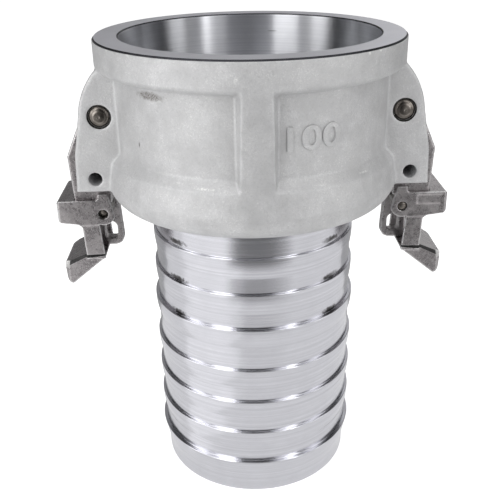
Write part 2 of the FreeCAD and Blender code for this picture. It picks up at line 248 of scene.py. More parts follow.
def crisp_shading(piece, degrees=32):
    """Smooth shading that breaks at machined edges."""
    piece.data.shade_smooth()
    bm = bmesh.new()
    bm.from_mesh(piece.data)
    for edge in bm.edges:
        edge.smooth = len(edge.link_faces) == 2 and edge.calc_face_angle(0) < math.radians(degrees)
    bm.to_mesh(piece.data)
    bm.free()


def true_faces(piece, degrees=32):
    """Shading that keeps the flats of a turned piece flat between their rounded edges."""
    crisp_shading(piece, degrees)
    flats = piece.modifiers.new("flats", "WEIGHTED_NORMAL")
    flats.keep_sharp = True
    flats.weight = 80
    return baked(piece)


def other_side(piece, name):
    """The same casting on the left: turned half round the bore axis."""
    copy = bpy.data.objects.new(name, piece.data.copy())
    copy.data.transform(Matrix.Rotation(math.pi, 4, "Z"))
    bpy.context.scene.collection.objects.link(copy)
    return copy


def fitted(piece, body, slot, *nodes):
    """Puts the piece on its body, in place of the nodes it stands for."""
    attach(piece, body)
    if nodes:
        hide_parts(*nodes)


# Materials. MapRange takes 0 from the range 1 to 2 and gives it in the range 3 to 4, held within it;
# Mix goes from colour 6 to colour 7 by the share 0. A colour is a hex code.

def srgb(code):
    """Linear colour from a hex code."""
    parts = [int(code[i:i + 2], 16) / 255 for i in (0, 2, 4)]
    linear = [c / 12.92 if c <= 0.04045 else ((c + 0.055) / 1.055) ** 2.4 for c in parts]
    return (*linear, 1.0)


def add(tree, kind, inputs, output=0, **settings):
    """Adds a node with its settings. Inputs are sockets, numbers or hex codes; gives one output."""
    node = tree.nodes.new("ShaderNode" + kind)
    for key, value in settings.items():
        setattr(node, key, value)
    for key, value in inputs.items():
        if isinstance(value, bpy.types.NodeSocket):
            tree.links.new(value, node.inputs[key])
        else:
            node.inputs[key].default_value = srgb(value) if isinstance(value, str) else value
    return node if output is None else node.outputs[output]


def new_material(name):
    """Material with an empty tree."""
    material = bpy.data.materials.new(name)
    material.use_nodes = True
    material.node_tree.nodes.clear()
    return material, material.node_tree


def lumps(size):
    """Scale of a noise whose lumps are about a size across, in millimetres."""
    return 1 / (size * MM)


def spot(tree, place, centre, size, ragged=0.5):
    """Share that is 1 at a centre and falls to 0 at a ragged outline of the given half sizes."""
    off = add(tree, "VectorMath", {0: place, 1: tuple(c * MM for c in centre)}, operation="SUBTRACT")
    scaled = add(tree, "VectorMath", {0: off, 1: tuple(s * MM for s in size)}, operation="DIVIDE")
    far = add(tree, "VectorMath", {0: scaled}, "Value", operation="LENGTH")
    rough = add(tree, "TexNoise", {"Vector": place, "Scale": lumps(1.6), "Detail": 3.0, "Roughness": 0.6})
    edge = add(tree, "Math", {0: rough, 1: ragged * 2, 2: far}, operation="MULTIPLY_ADD")
    return add(tree, "MapRange", {0: edge, 1: 1.0 + ragged, 2: 0.5 + ragged})


def sand_cast_aluminium():
    """Aluminium alloy cast in sand and tumbled: matt pale grey with a fine grain.

    The tumbling leaves a scatter of high grains brighter than the rest. Raised edges are painted brighter
    still, as wear and painted highlight, and creases are painted darker as painted shade.
    """
    material, tree = new_material("sand_cast_aluminium")
    place = add(tree, "TexCoord", {}, "Object")
    grain, fine, patches, broad = [
        add(tree, "TexNoise", {"Vector": place, "Scale": lumps(size), "Detail": detail, "Roughness": rough})
        for size, detail, rough in ((1.1, 5.0, 0.68), (0.6, 3.0, 0.6), (11.0, 4.0, 0.62), (34.0, 2.0, 0.5))]
    clouds = add(tree, "MapRange", {0: patches, 1: 0.3, 2: 0.7})
    tone = add(tree, "Mix", {0: clouds, 6: "BBBBBC", 7: "D0D0D1"}, 2, data_type="RGBA")
    shade = add(tree, "MapRange", {0: broad, 1: 0.35, 2: 0.65, 4: 0.45})
    pores = add(tree, "MapRange", {0: grain, 1: 0.5, 2: 0.34, 4: 0.34})

    # High grains are rubbed bright, and edges are painted bright as wear and painted highlight, more in
    # some patches than in others
    tips = add(tree, "MapRange", {0: fine, 1: 0.54, 2: 0.68})
    often = add(tree, "MapRange", {0: patches, 1: 0.4, 2: 0.6, 3: 0.2})
    high_grain = add(tree, "Math", {0: tips, 1: often}, operation="MULTIPLY")
    bright_grain = add(tree, "Math", {0: high_grain, 1: 0.45}, operation="MULTIPLY")
    edge = add(tree, "NewGeometry", {}, "Pointiness")
    raised = add(tree, "MapRange", {0: edge, 1: 0.53, 2: 0.6})
    often = add(tree, "MapRange", {0: patches, 1: 0.4, 2: 0.6, 3: 0.12})
    rubbed_and_highlit_edge = add(tree, "Math", {0: raised, 1: often}, operation="MULTIPLY")
    broken = add(tree, "MapRange", {0: grain, 1: 0.4, 2: 0.58, 3: 0.25})
    worn_and_highlit_edge = add(tree, "Math", {0: rubbed_and_highlit_edge, 1: broken}, operation="MULTIPLY")
    bright_edge = add(tree, "Math", {0: worn_and_highlit_edge, 1: 0.85}, operation="MULTIPLY")
    # Creases and hollows painted darker: painted shade
    sunk = add(tree, "MapRange", {0: edge, 1: 0.478, 2: 0.44, 4: 0.4})

    # A smudge and a nick on the left panel
    smudge = spot(tree, place, (-43.5, -48.5, 209.8), (8.5, 8.5, 2.2), 0.6)
    speckle = add(tree, "MapRange", {0: fine, 1: 0.4, 2: 0.6, 3: 0.35, 4: 0.9})
    smudge = add(tree, "Math", {0: smudge, 1: speckle}, operation="MULTIPLY")
    nick = spot(tree, place, (-49.9, -41.8, 187.4), (0.55, 0.9, 1.7), 0.15)
    nick = add(tree, "Math", {0: nick, 1: 0.8}, operation="MULTIPLY")
    for share, colour in ((shade, "C6C6C6"), (pores, "A6A6A8"), (bright_grain, "EDEDEB"),
                          (bright_edge, "F2F2F0"), (sunk, "8C8B89"), (smudge, "6B6560"), (nick, "5E5B57")):
        tone = add(tree, "Mix", {0: share, 6: tone, 7: colour}, 2, data_type="RGBA")

    # Places painted lighter: two on the edge of the rim, four along the shoulder of the lower band
    lighter_place_grain = add(tree, "MapRange", {0: fine, 1: 0.42, 2: 0.56, 3: 0.1, 4: 0.75})
    for centre, size in (((45.5, -55.7, 226.7), (0.9, 0.9, 0.8)), ((51.3, -50.4, 226.8), (0.7, 0.7, 0.6)),
                         ((-34.0, -60.5, 175.4), (3.5, 3.5, 0.7)), ((-22.0, -65.7, 174.2), (5.0, 5.0, 0.6)),
                         ((27.9, -63.6, 174.3), (2.6, 2.6, 0.7)), ((48.6, -49.5, 174.8), (4.5, 4.5, 0.6))):
        lighter_place = add(tree, "Math", {0: spot(tree, place, centre, size, 0.7), 1: lighter_place_grain}, operation="MULTIPLY")
        tone = add(tree, "Mix", {0: lighter_place, 6: tone, 7: "F4F4F2"}, 2, data_type="RGBA")

    rough = add(tree, "MapRange", {0: grain, 1: 0.3, 2: 0.7, 3: 0.5, 4: 0.62})
    polish = add(tree, "Math", {0: rubbed_and_highlit_edge, 1: high_grain}, operation="MAXIMUM")
    polish = add(tree, "Math", {0: polish, 1: 0.14}, operation="MULTIPLY")
    rough = add(tree, "Math", {0: rough, 1: polish}, operation="SUBTRACT")
    height = add(tree, "Math", {0: fine, 1: 0.4, 2: grain}, operation="MULTIPLY_ADD")
    bump = add(tree, "Bump", {"Strength": 0.9, "Distance": 0.2 * MM, "Height": height})
    shader = add(tree, "BsdfPrincipled", {
        "Base Color": tone, "Metallic": 0.52, "Roughness": rough, "Normal": bump})
    add(tree, "OutputMaterial", {0: shader}, None)
    return material


def turned_aluminium(name, colours, roughness, streak, ring_pitch):
    """Aluminium cut on a lathe: bright, with fine rings that smear each highlight along the axis.

    The tool's rings are 0.2 mm apart, too fine to show, so they are drawn at the given pitch. Dark places
    are painted on the upper ridges of the shank, each side of the front, as painted dark reflections.
    """
    material, tree = new_material(name)
    place = add(tree, "TexCoord", {}, "Object")
    wander, clouds = [
        add(tree, "TexNoise", {"Vector": place, "Scale": lumps(size), "Detail": detail, "Roughness": 0.6})
        for size, detail in ((25.0, 2.0), (9.0, 3.0))]
    level = add(tree, "SeparateXYZ", {0: place}, 2)
    level = add(tree, "Math", {0: wander, 1: 0.3 * MM, 2: level}, operation="MULTIPLY_ADD")
    rings = add(tree, "TexNoise", {"W": level, "Scale": lumps(ring_pitch), "Detail": 3.0,
                                   "Roughness": 0.7}, noise_dimensions="1D")
    share = add(tree, "MapRange", {0: rings, 1: 0.3, 2: 0.7})
    tone = add(tree, "Mix", {0: share, 6: colours[0], 7: colours[1]}, 2, data_type="RGBA")
    share = add(tree, "MapRange", {0: clouds, 1: 0.35, 2: 0.7, 4: 0.5})
    tone = add(tree, "Mix", {0: share, 6: tone, 7: colours[0]}, 2, data_type="RGBA")
    uneven = add(tree, "MapRange", {0: clouds, 1: 0.3, 2: 0.5, 3: 0.5, 4: 0.95})
    # Dark places on the upper ridges, each side of the front: painted dark reflections
    for level, crest in ((137.4, 50.0), (118.2, 50.4), (99.9, 51.2)):
        for turn in (math.radians(-49), math.radians(46)):
            painted_dark_reflection = spot(tree, place, (crest * math.sin(turn), -crest * math.cos(turn), level),
                           (7.2, 7.2, 1.7), 0.7)
            painted_dark_reflection = add(tree, "Math", {0: painted_dark_reflection, 1: uneven}, operation="MULTIPLY")
            tone = add(tree, "Mix", {0: painted_dark_reflection, 6: tone, 7: "3E3B3A"}, 2, data_type="RGBA")
    scratch = spot(tree, place, (14.0, 58.5, 219.0), (3.2, 3.0, 0.35), 0.1)
    scratch = add(tree, "Math", {0: scratch, 1: 0.6}, operation="MULTIPLY")
    tone = add(tree, "Mix", {0: scratch, 6: tone, 7: "77777B"}, 2, data_type="RGBA")
    rough = add(tree, "MapRange", {0: rings, 1: 0.3, 2: 0.7, 3: roughness * 0.92, 4: roughness * 1.1})
    way = add(tree, "Tangent", {}, direction_type="RADIAL", axis="Z")
    bump = add(tree, "Bump", {"Strength": 0.08, "Distance": 0.02 * MM, "Height": rings})
    shader = add(tree, "BsdfPrincipled", {
        "Base Color": tone, "Metallic": 1.0, "Roughness": rough, "Anisotropic": streak,
        "Anisotropic Rotation": 0.25, "Tangent": way, "Normal": bump})
    add(tree, "OutputMaterial", {0: shader}, None)
    return material


def mottled_metal(name, size, detail, span, colours, metallic, roughness):
    """Metal with one mottle of two colours: its lumps' size, and the span of noise between them."""
    material, tree = new_material(name)
    place = add(tree, "TexCoord", {}, "Object")
    mottle = add(tree, "TexNoise", {
        "Vector": place, "Scale": lumps(size), "Detail": detail, "Roughness": 0.6})
    share = add(tree, "MapRange", {0: mottle, 1: span[0], 2: span[1]})
    tone = add(tree, "Mix", {0: share, 6: colours[0], 7: colours[1]}, 2, data_type="RGBA")
    shader = add(tree, "BsdfPrincipled", {
        "Base Color": tone, "Metallic": metallic, "Roughness": roughness})
    add(tree, "OutputMaterial", {0: shader}, None)
    return material


def investment_cast_steel():
    """Steel cast in a ceramic mould and blasted: dark satin grey and speckled, with painted highlight and
    wear on its edges and painted shade in its creases.

    The blasted grain is 0.1 mm wide, so it is drawn five times as coarse to show as speckle.
    """
    material, tree = new_material("investment_cast_steel")
    place = add(tree, "TexCoord", {}, "Object")
    grain, pits, stain = [
        add(tree, "TexNoise", {"Vector": place, "Scale": lumps(size), "Detail": 4.0, "Roughness": rough})
        for size, rough in ((0.5, 0.75), (1.3, 0.65), (6.0, 0.65))]
    share = add(tree, "MapRange", {0: stain, 1: 0.3, 2: 0.7})
    tone = add(tree, "Mix", {0: share, 6: "898486", 7: "B9B4B5"}, 2, data_type="RGBA")
    speckle = add(tree, "MapRange", {0: grain, 1: 0.52, 2: 0.64, 4: 0.8})
    holes = add(tree, "MapRange", {0: pits, 1: 0.42, 2: 0.32, 4: 0.6})
    edge = add(tree, "NewGeometry", {}, "Pointiness")
    # Convex edges painted bright, as wear and painted highlight
    raised = add(tree, "MapRange", {0: edge, 1: 0.51, 2: 0.55})
    broken = add(tree, "MapRange", {0: pits, 1: 0.35, 2: 0.5, 3: 0.4})
    worn_and_highlit_edge = add(tree, "Math", {0: raised, 1: broken}, operation="MULTIPLY")
    worn_and_highlit_edge = add(tree, "Math", {0: worn_and_highlit_edge, 1: 0.9}, operation="MULTIPLY")
    # Creases painted nearly black: painted shade
    sunk = add(tree, "MapRange", {0: edge, 1: 0.48, 2: 0.43, 4: 0.8})
    for share, colour in ((speckle, "D2D1D0"), (holes, "3A393A"), (worn_and_highlit_edge, "F0EFEF"), (sunk, "201F1F")):
        tone = add(tree, "Mix", {0: share, 6: tone, 7: colour}, 2, data_type="RGBA")
    rough = add(tree, "MapRange", {0: stain, 1: 0.3, 2: 0.7, 3: 0.22, 4: 0.36})
    height = add(tree, "Math", {0: pits, 1: 1.5, 2: grain}, operation="MULTIPLY_ADD")
    bump = add(tree, "Bump", {"Strength": 0.6, "Distance": 0.07 * MM, "Height": height})
    shader = add(tree, "BsdfPrincipled", {
        "Base Color": tone, "Metallic": 1.0, "Roughness": rough, "Normal": bump})
    add(tree, "OutputMaterial", {0: shader}, None)
    return material


def turned_steel():
    """Free-cutting steel turned to size: dark grey, with rings round each pivot pin's end."""
    material, tree = new_material("turned_steel")
    place = add(tree, "TexCoord", {}, "Object")
    stain = add(tree, "TexNoise", {"Vector": place, "Scale": lumps(2.2), "Detail": 3.0, "Roughness": 0.6})
    folded = add(tree, "VectorMath", {0: place}, operation="ABSOLUTE")
    shifted = add(tree, "VectorMath", {0: folded, 1: (PIVOT[0] * MM, 0, PIVOT[1] * MM)},
                  operation="SUBTRACT")
    flat = add(tree, "VectorMath", {0: shifted, 1: (1, 0, 1)}, operation="MULTIPLY")
    radius = add(tree, "VectorMath", {0: flat}, "Value", operation="LENGTH")
    rings = add(tree, "TexNoise", {"W": radius, "Scale": lumps(0.6), "Detail": 2.0},
                noise_dimensions="1D")
    share = add(tree, "MapRange", {0: rings, 1: 0.35, 2: 0.65})
    tone = add(tree, "Mix", {0: share, 6: "6C6661", 7: "9A948D"}, 2, data_type="RGBA")
    share = add(tree, "MapRange", {0: stain, 1: 0.45, 2: 0.65, 4: 0.5})
    tone = add(tree, "Mix", {0: share, 6: tone, 7: "4A4540"}, 2, data_type="RGBA")
    bump = add(tree, "Bump", {"Strength": 0.35, "Distance": 0.05 * MM, "Height": rings})
    shader = add(tree, "BsdfPrincipled", {
        "Base Color": tone, "Metallic": 1.0, "Roughness": 0.3, "Normal": bump})
    add(tree, "OutputMaterial", {0: shader}, None)
    return material


def nitrile_rubber():
    """Moulded nitrile rubber: black and matt, with a faint bloom and a fine moulded grain."""
    material, tree = new_material("nitrile_rubber")
    place = add(tree, "TexCoord", {}, "Object")
    bloom, grain = [
        add(tree, "TexNoise", {"Vector": place, "Scale": lumps(size), "Detail": detail, "Roughness": 0.6})
        for size, detail in ((6.0, 4.0), (0.8, 3.0))]
    share = add(tree, "MapRange", {0: bloom, 1: 0.35, 2: 0.7})
    tone = add(tree, "Mix", {0: share, 6: "171717", 7: "2C2C2B"}, 2, data_type="RGBA")
    rough = add(tree, "MapRange", {0: grain, 1: 0.3, 2: 0.7, 3: 0.5, 4: 0.68})
    bump = add(tree, "Bump", {"Strength": 0.3, "Distance": 0.03 * MM, "Height": grain})
    shader = add(tree, "BsdfPrincipled", {"Base Color": tone, "Roughness": rough, "Normal": bump})
    add(tree, "OutputMaterial", {0: shader}, None)
    return material


def seen_share(tree):
    """1 for the rays of the eye, and for those that metal and glass send on."""
    rays = add(tree, "LightPath", {}, None).outputs
    seen = add(tree, "Math", {0: rays["Is Camera Ray"], 1: rays["Is Glossy Ray"]}, operation="MAXIMUM")
    return add(tree, "Math", {0: seen, 1: rays["Is Transmission Ray"]}, operation="MAXIMUM")


def painted_floor():
    """Matt white studio floor, that reads white to the eye and in the metal, with its shadows."""
    material, tree = new_material("matt_white_studio_paint")
    place = add(tree, "TexCoord", {}, "Object")
    mottle = add(tree, "TexNoise", {
        "Vector": place, "Scale": lumps(250.0), "Detail": 2.0, "Roughness": 0.6})
    tone = add(tree, "Mix", {0: mottle, 6: "FAFAFA", 7: "FEFEFE"}, 2, data_type="RGBA")
    glow = add(tree, "Math", {0: seen_share(tree), 1: FLOOR_GLOW}, operation="MULTIPLY")
    shader = add(tree, "BsdfPrincipled", {
        "Base Color": tone, "Roughness": 0.9, "Emission Color": "FFFFFF", "Emission Strength": glow})
    add(tree, "OutputMaterial", {0: shader}, None)
    return material


def flag_card(name, shade):
    """Plain card that the metal sees as one even grey."""
    material, tree = new_material(name)
    glow = add(tree, "Emission", {"Color": shade, "Strength": 1.0})
    add(tree, "OutputMaterial", {0: glow}, None)
    return material


cast_aluminium = sand_cast_aluminium()
bore_aluminium = turned_aluminium("bored_aluminium", ("DADBDF", "EEEFF2"), 0.31, 1.0, 1.1)
faced_aluminium = turned_aluminium("faced_aluminium", ("D2D2D8", "E2E2E8"), 0.42, 0.0, 1.4)
# The two edges of the mouth, painted near black
edge_aluminium = turned_aluminium("darkened_edge_aluminium", ("2C2C30", "55555A"), 0.5, 0.3, 2.0)
shank_aluminium = turned_aluminium("turned_shank_aluminium", ("D3D3D9", "E3E3E9"), 0.22, 0.6, 1.6)
cast_steel = investment_cast_steel()
pin_steel = turned_steel()
rubber = nitrile_rubber()

# Bare metal in the bores and in the rings round the pins, painted nearly black: painted shade in these
# recesses
shade_painted_bore = mottled_metal("bore_with_painted_shade", 1.5, 4.0, (0.0, 1.0), ("141311", "33302C"), 0.3, 0.6)

# Aluminium as a drill leaves it: satin grey, with dirt from handling
drilled_bore = mottled_metal("drilled_aluminium", 1.2, 4.0, (0.35, 0.65), ("8C8C8E", "BEBEC0"), 0.3, 0.6)

# Steel painted near black along a sunk edge of the steel casting: painted shade
shade_painted_steel = mottled_metal("steel_with_painted_shade", 0.9, 4.0, (0.35, 0.65), ("1B1A1B", "363535"), 0.5, 0.5)

# Steel painted bright on a facet at the tip of the tab: a painted highlight
highlight_painted_steel = mottled_metal("steel_with_painted_highlight", 0.8, 3.0, (0.35, 0.65), ("D8D7D6", "F6F5F4"), 0.6, 0.4)

# Drawn stainless wire: smooth, mid grey, with faint draw marks
wire_steel = mottled_metal("spring_wire", 1.5, 2.0, (0.0, 1.0), ("6E6C69", "B0AEAB"), 1.0, 0.28)


# Socket casting. Metal is left on the mouth and in the bore, and the machining cuts it crisp.

ROUND_STEPS = 256
CUT_LOW_Z = UNDERSIDE_Z - 4
CUT_HIGH_Z = MOUTH_Z + 5
CUT_R = RIM_R + 3
THROAT_RUN_OUT = 0.35
GASKET_PLAY = 0.2
# The rim's outer edge, broken by hand: out from the rim's radius, and up from the mouth
RIM_BREAK = ((-0.95, 0.0), (-0.3, -0.75), (0.6, -1.35))

body_stock = turned_piece("body_stock", [
    (0, UNDERSIDE_Z + STOCK / 2), (SOCKET_R + STOCK, UNDERSIDE_Z + STOCK / 2),
    (SOCKET_R + STOCK, MOUTH_Z - STOCK), (RIM_R, MOUTH_Z - STOCK), (RIM_R, MOUTH_Z + STOCK),
    (0, MOUTH_Z + STOCK)], steps=ROUND_STEPS, closed=False)
body = cast_form("coupler_body", "socket_casting", SAND_GRID, 2, body_stock, keep=0.4)
body.data.materials.append(cast_aluminium)

rim_break = [(RIM_R + out, MOUTH_Z + up) for out, up in RIM_BREAK]
boring = turned_piece("boring", [
    (0, CUT_LOW_Z), (FLOW_R - THROAT_RUN_OUT, CUT_LOW_Z), (THROAT_R, SEAT_Z),
    (GASKET_R + GASKET_PLAY, SEAT_Z), (GASKET_R + GASKET_PLAY, UNDERCUT_Z), (SOCKET_R, UNDERCUT_Z),
    (SOCKET_R, MOUTH_Z - MOUTH_EDGE), (SOCKET_R + MOUTH_EDGE, MOUTH_Z), *rim_break,
    (CUT_R, rim_break[-1][1]), (CUT_R, CUT_HIGH_Z), (0, CUT_HIGH_Z)], steps=ROUND_STEPS, closed=False)
for material in (bore_aluminium, faced_aluminium, edge_aluminium, cast_aluminium):
    boring.data.materials.append(material)
# The mouth is faced, both its edges are painted near black, and below them the broken edge is as cast
for face in boring.data.polygons:
    drop = MOUTH_Z - face.center.z / MM
    if abs(drop) < 0.1:
        face.material_index = 1
    elif 0 < drop < 0.6:
        face.material_index = 2
    elif 0 < drop < 1.5:
        face.material_index = 3
cut_away(body, boring)

drilling = bmesh.new()
for side in (-1, 1):
    low_x, high_x = sorted((side * WINDOW[0], side * WINDOW[1]))
    block(drilling, (low_x, -SLOT_HALF, WINDOW[2]), (high_x, SLOT_HALF, WINDOW[3]))
windows = finished(drilling, "windows")
windows.data.materials.append(cast_aluminium)
cut_away(body, windows)

drilling = bmesh.new()
for side in (-1, 1):
    bar(drilling, side * SAFETY[0], SAFETY[1], SAFETY_R, EAR_HALF + OVERRUN)
safety_bores = finished(drilling, "safety_bores")
safety_bores.data.materials.append(drilled_bore)
cut_away(body, safety_bores)

# A wider ring, painted nearly black as painted shade, shows round each end of a pivot pin
ring_r, ring_y = PIVOT_PIN_R + 0.8, EAR_HALF - 1.2
hole_r, end_y = PIVOT_PIN_R + PRESS_FIT, EAR_HALF + OVERRUN
for side in (-1, 1):
    pin_bore = turned_piece("pin_bore", [
        (0, -end_y), (ring_r, -end_y), (ring_r, -ring_y), (hole_r, -ring_y), (hole_r, ring_y),
        (ring_r, ring_y), (ring_r, end_y), (0, end_y)],
        steps=64, centre=(side * PIVOT[0], 0, PIVOT[1]), across=True, closed=False)
    pin_bore.data.materials.append(shade_painted_bore)
    cut_away(body, pin_bore)
crisp_shading(body)
fitted(body, "coupler", "cast_aluminium", "coupler_body")


# Hose shank: each ridge has a square shoulder towards the socket and rounds away below it.

def ridge_fall(crest, valley, level, steps=7):
    """Points up the rounded fall of a ridge, from the valley below it to its land."""
    run, depth = RIDGE_LENGTH - RIDGE_LAND, crest - valley
    bend = (run ** 2 + depth ** 2) / (2 * depth)
    points = []
    for step in range(steps + 1):
        drop = run * (1 - step / steps)
        points.append((crest - bend + math.sqrt(bend ** 2 - drop ** 2), level - RIDGE_LAND - drop))
    return points


shank_corners = [(FLOW_R + BORE_BREAK, 0), (TIP_R - TIP_BREAK, 0, 0.4), (TIP_R, TIP_BREAK, 0.6),
                 (TIP_R, TIP_LAND, 14.0)]
below = TIP_R
for crest, valley, level in zip(RIDGE_CRESTS, RIDGE_VALLEYS, RIDGE_LEVELS):
    if level > RIDGE_LEVELS[0]:
        shank_corners += ridge_fall(crest, below, level)
    shank_corners += [(crest, level, CREST_ROUND), (valley, level, ROOT_ROUND)]
    below = valley
shank_corners += [(below, UNDERSIDE_Z, NECK_FILLET - 0.3), (below + NECK_FILLET, UNDERSIDE_Z),
                  (NECK_BORE_R, UNDERSIDE_Z), (FLOW_R, THROAT_LOW_Z), (FLOW_R, TIP_BREAK)]
shank = turned_piece("ridged_shank", rounded(shank_corners), steps=ROUND_STEPS)
shank.data.materials.append(shank_aluminium)
true_faces(shank)
fitted(shank, "coupler", "turned_aluminium", "hose_shank")


# Levers and latches are cast once for the right and turned over for the left.

lever = cast_form("right_cam_arm", "right_lever_casting", LEVER_GRID, 3)
lever.data.materials.append(cast_steel)
drilling = bmesh.new()
bar(drilling, *PIVOT, PIVOT_PIN_R + RUNNING_FIT, SLOT_HALF + OVERRUN)
bar(drilling, *SAFETY, SAFETY_R + SAFETY_PLAY, SLOT_HALF + OVERRUN)
bar(drilling, *LATCH_PIN, LATCH_PIN_R + PRESS_FIT, SLOT_HALF + OVERRUN)
lever_bores = finished(drilling, "lever_bores")
# The bores' walls are painted nearly black: painted shade
lever_bores.data.materials.append(shade_painted_bore)
cut_away(lever, lever_bores)
crisp_shading(lever, 40)
left_lever = other_side(lever, "left_lever_casting")
fitted(lever, "right_lever", "cast_steel", "right_cam_arm")
fitted(left_lever, "left_lever", "cast_steel", "left_cam_arm")

# The latch's pattern: a sunk field in one side of its block, a stem set back from the cheek,
# and broken upright corners on tab and block. Places are in millimetres from the latch pin.
FIELD_LOW, FIELD_HIGH, FIELD_DEPTH = (7.0, 0.9), (19.8, 5.8), 0.35
STEM_LOW, STEM_HIGH, STEM_SET_BACK = (-2, -25), (11.5, -5.6), 0.5

# Sections of the broken corners: x, and out from the tab's or the block's side
TAB_CORNER, TAB_SPAN_Z = ((92.6, 2.0), (98.0, 2.0), (98.0, -3.4), (94.9, -2.4), (92.6, 0.1)), (104.0, 128.0)
BLOCK_CORNER, BLOCK_SPAN_Z = ((93.6, 0.1), (96.0, 0.1), (96.0, -1.4), (94.9, -1.2)), (139.0, 155.0)

# A break, painted near black as painted shade, follows the top edge of the tab and widens to its tip, in
# two straight runs, and a facet painted bright as a painted highlight crosses its outer corner. Corners are
# x, out from the tab's side, and z.
TAB_GROOVES = (
    ((83.4, -1.0, 124.2), (95.4, -1.3, 119.6), (83.4, 1.5, 124.2), (95.4, 1.5, 119.6),
     (83.4, -0.15, 122.6), (95.4, -0.3, 116.8), (83.4, 1.5, 122.2), (95.4, 1.5, 116.2)),
    ((73.0, -0.6, 124.3), (83.8, -0.9, 124.1), (73.0, 1.5, 124.3), (83.8, 1.5, 124.1),
     (73.0, -0.1, 123.5), (83.8, -0.15, 122.5), (73.0, 1.5, 123.5), (83.8, 1.5, 122.1)))
TAB_FACET = (
    (92.3, -0.2, 117.3), (94.9, -2.8, 116.4), (94.3, -3.6, 119.8), (91.9, -1.6, 120.7),
    (92.3, 2.0, 117.3), (97.5, -1.0, 116.4), (97.5, -1.0, 121.8), (91.9, 2.0, 121.8))

latch_x, latch_z = LATCH_PIN
pattern = bmesh.new()
block(pattern, (latch_x + FIELD_LOW[0], -CHEEK_OUTER - OVERRUN, latch_z + FIELD_LOW[1]),
      (latch_x + FIELD_HIGH[0], FIELD_DEPTH - CHEEK_OUTER, latch_z + FIELD_HIGH[1]))
for side in (-1, 1):
    low_y, high_y = sorted((side * (CHEEK_OUTER - STEM_SET_BACK), side * (CHEEK_OUTER + OVERRUN)))
    block(pattern, (latch_x + STEM_LOW[0], low_y, latch_z + STEM_LOW[1]),
          (latch_x + STEM_HIGH[0], high_y, latch_z + STEM_HIGH[1]))
    wedge(pattern, [(x, side * (TAB_HALF + out), z) for z in TAB_SPAN_Z for x, out in TAB_CORNER])
    wedge(pattern, [(x, side * (CHEEK_OUTER + out), z) for z in BLOCK_SPAN_Z for x, out in BLOCK_CORNER])
latch = cast_form("right_latch", "right_latch_casting", LATCH_GRID, 2,
                  pattern=finished(pattern, "pattern"))
latch.data.materials.append(cast_steel)

hole_r, wide_r = LATCH_PIN_R + RUNNING_FIT, LATCH_PIN_R + RUNNING_FIT + HOLE_BREAK
latch_bore = turned_piece("latch_bore", [
    (0, -CHEEK_OUTER - OVERRUN), (wide_r, -CHEEK_OUTER - OVERRUN), (wide_r, -CHEEK_OUTER),
    (hole_r, HOLE_BREAK - CHEEK_OUTER), (hole_r, CHEEK_OUTER - HOLE_BREAK), (wide_r, CHEEK_OUTER),
    (wide_r, CHEEK_OUTER + OVERRUN), (0, CHEEK_OUTER + OVERRUN)],
    steps=48, centre=(latch_x, 0, latch_z), across=True, closed=False)
# The bore's walls are painted nearly black: painted shade
latch_bore.data.materials.append(shade_painted_bore)
cut_away(latch, latch_bore)

# One cut at a time, because the exact solver fails on a cutter whose parts overlap
for name, material, corners in (("tab_groove", shade_painted_steel, TAB_GROOVES[0]),
                                ("tab_groove", shade_painted_steel, TAB_GROOVES[1]),
                                ("tab_facet", highlight_painted_steel, TAB_FACET)):
    cutter = bmesh.new()
    for side in (-1, 1):
        wedge(cutter, [(x, side * (TAB_HALF + out), z) for x, out, z in corners])
    cutter = finished(cutter, name)
    cutter.data.materials.append(material)
    cut_away(latch, cutter)
crisp_shading(latch, 40)
left_latch = other_side(latch, "left_latch_casting")
fitted(latch, "right_release", "cast_steel", "right_latch")
fitted(left_latch, "left_release", "cast_steel", "left_latch")


# Pins. A pivot pin's ends are faced to a shallow dome with the tool's pip at its centre. A latch
# pin is pressed in from one side, so that its other end lies deeper in the hole.

pin_tip = EAR_HALF + 0.3
pin_end = [(0, pin_tip - 0.25), (0.5, pin_tip, 0.2), (2.2, pin_tip - 0.15, 1.0),
           (3.7, pin_tip - 0.6, 0.6), (PIVOT_PIN_R, pin_tip - 1.4, 0.4)]
pin_corners = pin_end + [(r, -y, *rest) for r, y, *rest in reversed(pin_end)]
for side, name in ((1, "right"), (-1, "left")):
    pin = turned_piece(name + "_pivot_pin", rounded(pin_corners, 3), steps=64,
                       centre=(side * PIVOT[0], 0, PIVOT[1]), across=True, closed=False)
    pin.data.materials.append(pin_steel)
    true_faces(pin, 50)
    fitted(pin, "coupler", "turned_steel", name + "_arm_pin")

DEEP_END, FLUSH_END, PIN_DOME, PIN_ROUND = 1.8, 0.3, 0.3, 0.5
latch_pin = turned_piece("right_pressed_latch_pin", rounded([
    (0, CHEEK_OUTER - DEEP_END), (LATCH_PIN_R, CHEEK_OUTER - DEEP_END - PIN_DOME, PIN_ROUND),
    (LATCH_PIN_R, FLUSH_END + PIN_DOME - CHEEK_OUTER, PIN_ROUND), (0, FLUSH_END - CHEEK_OUTER)], 4),
    steps=48, centre=(latch_x, 0, latch_z), across=True, closed=False)
latch_pin.data.materials.append(pin_steel)
true_faces(latch_pin, 50)
left_latch_pin = other_side(latch_pin, "left_pressed_latch_pin")
fitted(latch_pin, "right_lever", "turned_steel", "right_latch_pin")
fitted(left_latch_pin, "left_lever", "turned_steel", "left_latch_pin")

# Springs: each wire, with its coils on the pin and its loop under the block, is copied from its node and
# stands in its place.

for side, name in ((1, "right"), (-1, "left")):
    wire = bmesh.new()
    wire.from_mesh(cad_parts[name + "_latch_spring"].data)
    spring = finished(wire, name + "_wire_spring")
    spring.data.materials.append(wire_steel)
    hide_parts(name + "_latch_spring")
    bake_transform(spring)


# Gasket: moulded ring with rounded lips and a shallow groove in its sealing face.

